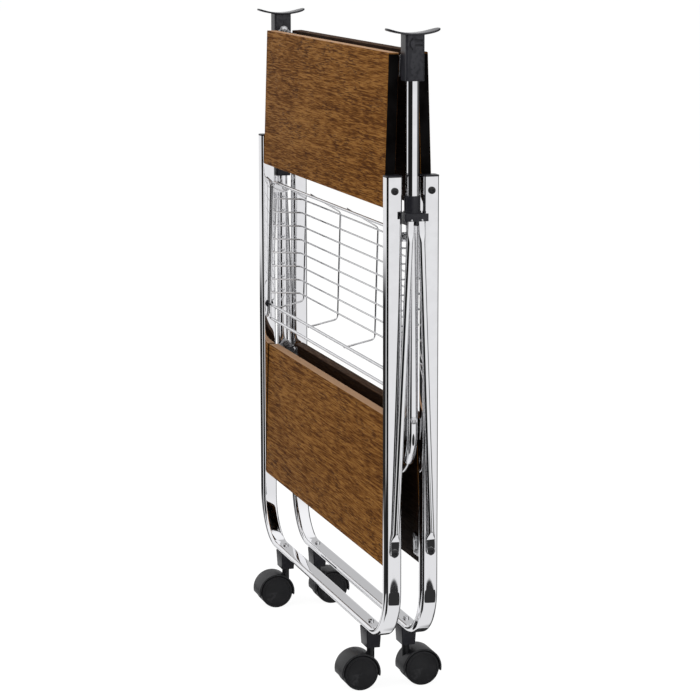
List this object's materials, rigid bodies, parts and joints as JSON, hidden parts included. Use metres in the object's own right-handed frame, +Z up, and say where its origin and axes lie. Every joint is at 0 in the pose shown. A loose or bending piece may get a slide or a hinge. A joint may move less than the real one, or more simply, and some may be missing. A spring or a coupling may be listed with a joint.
{
  "type": "folding serving cart",
  "caption": "Folding serving cart on casters: two U tube frames, a lifting centre frame with T handles, wood shelves and a wire basket.",
  "frame": {"origin": "on the floor, midway between the ends and between the front and rear frames, with the cart folded", "axes": "+Z up, +X along the shelves, +Y from the basket's side towards the rear frame; the cart folds across Y"},
  "size_m": [0.7788, 0.1608, 1.018],
  "materials": {
    "chrome_tube": "bright chrome-plated steel tube",
    "chrome_wire": "bright chrome-plated welded wire",
    "shelf_wood": "brown stained laminate with fine grain along its length, satin lacquer",
    "edge_strip": "black edge strip",
    "bracket_steel": "zinc-plated pressed steel",
    "black_screw": "black oxide screw",
    "bright_screw": "bright zinc-plated steel",
    "moulded_plastic": "black moulded plastic, fine texture",
    "hood_plastic": "black moulded plastic, satin",
    "wheel_plastic": "black nylon, matte"
  },
  "bodies": {
    "front_frame": {"front_frame_tube": "chrome_tube", "front_frame_plugs": "moulded_plastic", "front_caster_sockets": "moulded_plastic", "front_caster_stems": "bright_screw", "front_pivot_screws": "black_screw", "basket_outer_bushes": "moulded_plastic"},
    "rear_frame": {"rear_frame_tube": "chrome_tube", "rear_frame_plugs": "moulded_plastic", "rear_caster_sockets": "moulded_plastic", "rear_caster_stems": "bright_screw", "rear_pivot_screws": "black_screw"},
    "centre_frame": {"centre_frame_tube": "chrome_tube", "centre_pivot_screws": "bright_screw", "centre_spacers": "moulded_plastic", "basket_inner_pins": "bright_screw", "handle_block_left": "moulded_plastic", "handle_block_right": "moulded_plastic", "handle_plate_left": "moulded_plastic", "handle_plate_right": "moulded_plastic"},
    "wire_basket": {"wire_basket": "chrome_wire"},
    "upper_front_shelf": {"upper_front_board": "shelf_wood", "upper_front_end_strips": "edge_strip", "upper_front_brackets": "bracket_steel", "upper_front_bracket_screws": "bright_screw"},
    "upper_rear_shelf": {"upper_rear_board": "shelf_wood", "upper_rear_end_strips": "edge_strip", "upper_rear_brackets": "bracket_steel", "upper_rear_bracket_screws": "bright_screw"},
    "lower_front_shelf": {"lower_front_board": "shelf_wood", "lower_front_end_strips": "edge_strip", "lower_front_brackets": "bracket_steel", "lower_front_bracket_screws": "bright_screw"},
    "lower_rear_shelf": {"lower_rear_board": "shelf_wood", "lower_rear_end_strips": "edge_strip", "lower_rear_brackets": "bracket_steel", "lower_rear_bracket_screws": "bright_screw"},
    "slider_left": {"slider_left": "moulded_plastic", "slider_rivets_left": "bright_screw"},
    "strut_front_left": {"strut_front_left": "chrome_tube"},
    "strut_rear_left": {"strut_rear_left": "chrome_tube"},
    "slider_right": {"slider_right": "moulded_plastic", "slider_rivets_right": "bright_screw"},
    "strut_front_right": {"strut_front_right": "chrome_tube"},
    "strut_rear_right": {"strut_rear_right": "chrome_tube"},
    "caster_front_left_swivel": {"caster_front_left_hood": "hood_plastic", "caster_front_left_axle": "bright_screw"},
    "caster_front_left_wheel_a": {"caster_front_left_wheel_a": "wheel_plastic"},
    "caster_front_left_wheel_b": {"caster_front_left_wheel_b": "wheel_plastic"},
    "caster_front_right_swivel": {"caster_front_right_hood": "hood_plastic", "caster_front_right_axle": "bright_screw"},
    "caster_front_right_wheel_a": {"caster_front_right_wheel_a": "wheel_plastic"},
    "caster_front_right_wheel_b": {"caster_front_right_wheel_b": "wheel_plastic"},
    "caster_rear_left_swivel": {"caster_rear_left_hood": "hood_plastic", "caster_rear_left_axle": "bright_screw"},
    "caster_rear_left_wheel_a": {"caster_rear_left_wheel_a": "wheel_plastic"},
    "caster_rear_left_wheel_b": {"caster_rear_left_wheel_b": "wheel_plastic"},
    "caster_rear_right_swivel": {"caster_rear_right_hood": "hood_plastic", "caster_rear_right_axle": "bright_screw"},
    "caster_rear_right_wheel_a": {"caster_rear_right_wheel_a": "wheel_plastic"},
    "caster_rear_right_wheel_b": {"caster_rear_right_wheel_b": "wheel_plastic"}
  },
  "joints": [
    {"name": "fold", "type": "hinge", "parent": "front_frame", "child": "upper_front_shelf", "pos_m": [0, -0.0284, 0.782], "axis": [-1, 0, 0], "range_deg": [0, 88.2]},
    {"name": "centre_frame_pivot", "type": "hinge", "parent": "upper_front_shelf", "child": "centre_frame", "pos_m": [0, 0, 0.982], "axis": [1, 0, 0], "range_deg": [0, 88.2]},
    {"name": "upper_rear_shelf_pivot", "type": "hinge", "parent": "centre_frame", "child": "upper_rear_shelf", "pos_m": [0, 0, 0.982], "axis": [1, 0, 0], "range_deg": [0, 88.2]},
    {"name": "rear_frame_pivot", "type": "hinge", "parent": "upper_rear_shelf", "child": "rear_frame", "pos_m": [0, 0.0284, 0.782], "axis": [-1, 0, 0], "range_deg": [0, 88.2]},
    {"name": "lower_front_shelf_pivot", "type": "hinge", "parent": "front_frame", "child": "lower_front_shelf", "pos_m": [0, -0.0284, 0.241], "axis": [-1, 0, 0], "range_deg": [0, 88.2]},
    {"name": "lower_rear_shelf_pivot", "type": "hinge", "parent": "rear_frame", "child": "lower_rear_shelf", "pos_m": [0, 0.0284, 0.241], "axis": [1, 0, 0], "range_deg": [0, 88.2]},
    {"name": "basket_pivot", "type": "hinge", "parent": "front_frame", "child": "wire_basket", "pos_m": [0, -0.0284, 0.5115], "axis": [-1, 0, 0], "range_deg": [0, 88.2]},
    {"name": "strut_front_left_pivot", "type": "hinge", "parent": "front_frame", "child": "strut_front_left", "pos_m": [0, -0.0284, 0.241], "axis": [-1, 0, 0], "range_deg": [0, 20.36]},
    {"name": "strut_rear_left_pivot", "type": "hinge", "parent": "rear_frame", "child": "strut_rear_left", "pos_m": [0, 0.0284, 0.241], "axis": [1, 0, 0], "range_deg": [0, 20.36]},
    {"name": "slider_left_slide", "type": "slide", "parent": "centre_frame", "child": "slider_left", "axis": [0, 0, 1], "range_m": [0, 0.1839]},
    {"name": "strut_front_right_pivot", "type": "hinge", "parent": "front_frame", "child": "strut_front_right", "pos_m": [0, -0.0284, 0.241], "axis": [-1, 0, 0], "range_deg": [0, 20.36]},
    {"name": "strut_rear_right_pivot", "type": "hinge", "parent": "rear_frame", "child": "strut_rear_right", "pos_m": [0, 0.0284, 0.241], "axis": [1, 0, 0], "range_deg": [0, 20.36]},
    {"name": "slider_right_slide", "type": "slide", "parent": "centre_frame", "child": "slider_right", "axis": [0, 0, 1], "range_m": [0, 0.1839]},
    {"name": "caster_front_left_swivel", "type": "hinge", "parent": "front_frame", "child": "caster_front_left_swivel", "pos_m": [-0.25, -0.0284, 0.05], "axis": [0, 0, 1], "range_deg": [-120, 120]},
    {"name": "caster_front_left_spin_a", "type": "hinge", "parent": "caster_front_left_swivel", "child": "caster_front_left_wheel_a", "pos_m": [-0.25, -0.0494, 0.0275], "axis": [1, 0, 0], "continuous": true},
    {"name": "caster_front_left_spin_b", "type": "hinge", "parent": "caster_front_left_swivel", "child": "caster_front_left_wheel_b", "pos_m": [-0.25, -0.0494, 0.0275], "axis": [1, 0, 0], "continuous": true},
    {"name": "caster_front_right_swivel", "type": "hinge", "parent": "front_frame", "child": "caster_front_right_swivel", "pos_m": [0.25, -0.0284, 0.05], "axis": [0, 0, 1], "range_deg": [-120, 120]},
    {"name": "caster_front_right_spin_a", "type": "hinge", "parent": "caster_front_right_swivel", "child": "caster_front_right_wheel_a", "pos_m": [0.25, -0.0494, 0.0275], "axis": [1, 0, 0], "continuous": true},
    {"name": "caster_front_right_spin_b", "type": "hinge", "parent": "caster_front_right_swivel", "child": "caster_front_right_wheel_b", "pos_m": [0.25, -0.0494, 0.0275], "axis": [1, 0, 0], "continuous": true},
    {"name": "caster_rear_left_swivel", "type": "hinge", "parent": "rear_frame", "child": "caster_rear_left_swivel", "pos_m": [-0.25, 0.0284, 0.05], "axis": [0, 0, 1], "range_deg": [-120, 120]},
    {"name": "caster_rear_left_spin_a", "type": "hinge", "parent": "caster_rear_left_swivel", "child": "caster_rear_left_wheel_a", "pos_m": [-0.25, 0.0494, 0.0275], "axis": [1, 0, 0], "continuous": true},
    {"name": "caster_rear_left_spin_b", "type": "hinge", "parent": "caster_rear_left_swivel", "child": "caster_rear_left_wheel_b", "pos_m": [-0.25, 0.0494, 0.0275], "axis": [1, 0, 0], "continuous": true},
    {"name": "caster_rear_right_swivel", "type": "hinge", "parent": "rear_frame", "child": "caster_rear_right_swivel", "pos_m": [0.25, 0.0284, 0.05], "axis": [0, 0, 1], "range_deg": [-120, 120]},
    {"name": "caster_rear_right_spin_a", "type": "hinge", "parent": "caster_rear_right_swivel", "child": "caster_rear_right_wheel_a", "pos_m": [0.25, 0.0494, 0.0275], "axis": [1, 0, 0], "continuous": true},
    {"name": "caster_rear_right_spin_b", "type": "hinge", "parent": "caster_rear_right_swivel", "child": "caster_rear_right_wheel_b", "pos_m": [0.25, 0.0494, 0.0275], "axis": [1, 0, 0], "continuous": true}
  ],
  "couplings": [
    {"joint": "centre_frame_pivot", "follows": "fold", "ratio": 1},
    {"joint": "upper_rear_shelf_pivot", "follows": "fold", "ratio": 1},
    {"joint": "rear_frame_pivot", "follows": "fold", "ratio": 1},
    {"joint": "lower_front_shelf_pivot", "follows": "fold", "ratio": 1},
    {"joint": "lower_rear_shelf_pivot", "follows": "fold", "ratio": 1},
    {"joint": "basket_pivot", "follows": "fold", "ratio": 1},
    {"joint": "strut_front_left_pivot", "follows": "fold", "ratio": 0.23067},
    {"joint": "strut_rear_left_pivot", "follows": "fold", "ratio": 0.23067},
    {"joint": "slider_left_slide", "follows": "fold", "m_per_rad": 0.11943},
    {"joint": "strut_front_right_pivot", "follows": "fold", "ratio": 0.23067},
    {"joint": "strut_rear_right_pivot", "follows": "fold", "ratio": 0.23067},
    {"joint": "slider_right_slide", "follows": "fold", "m_per_rad": 0.11943}
  ]
}
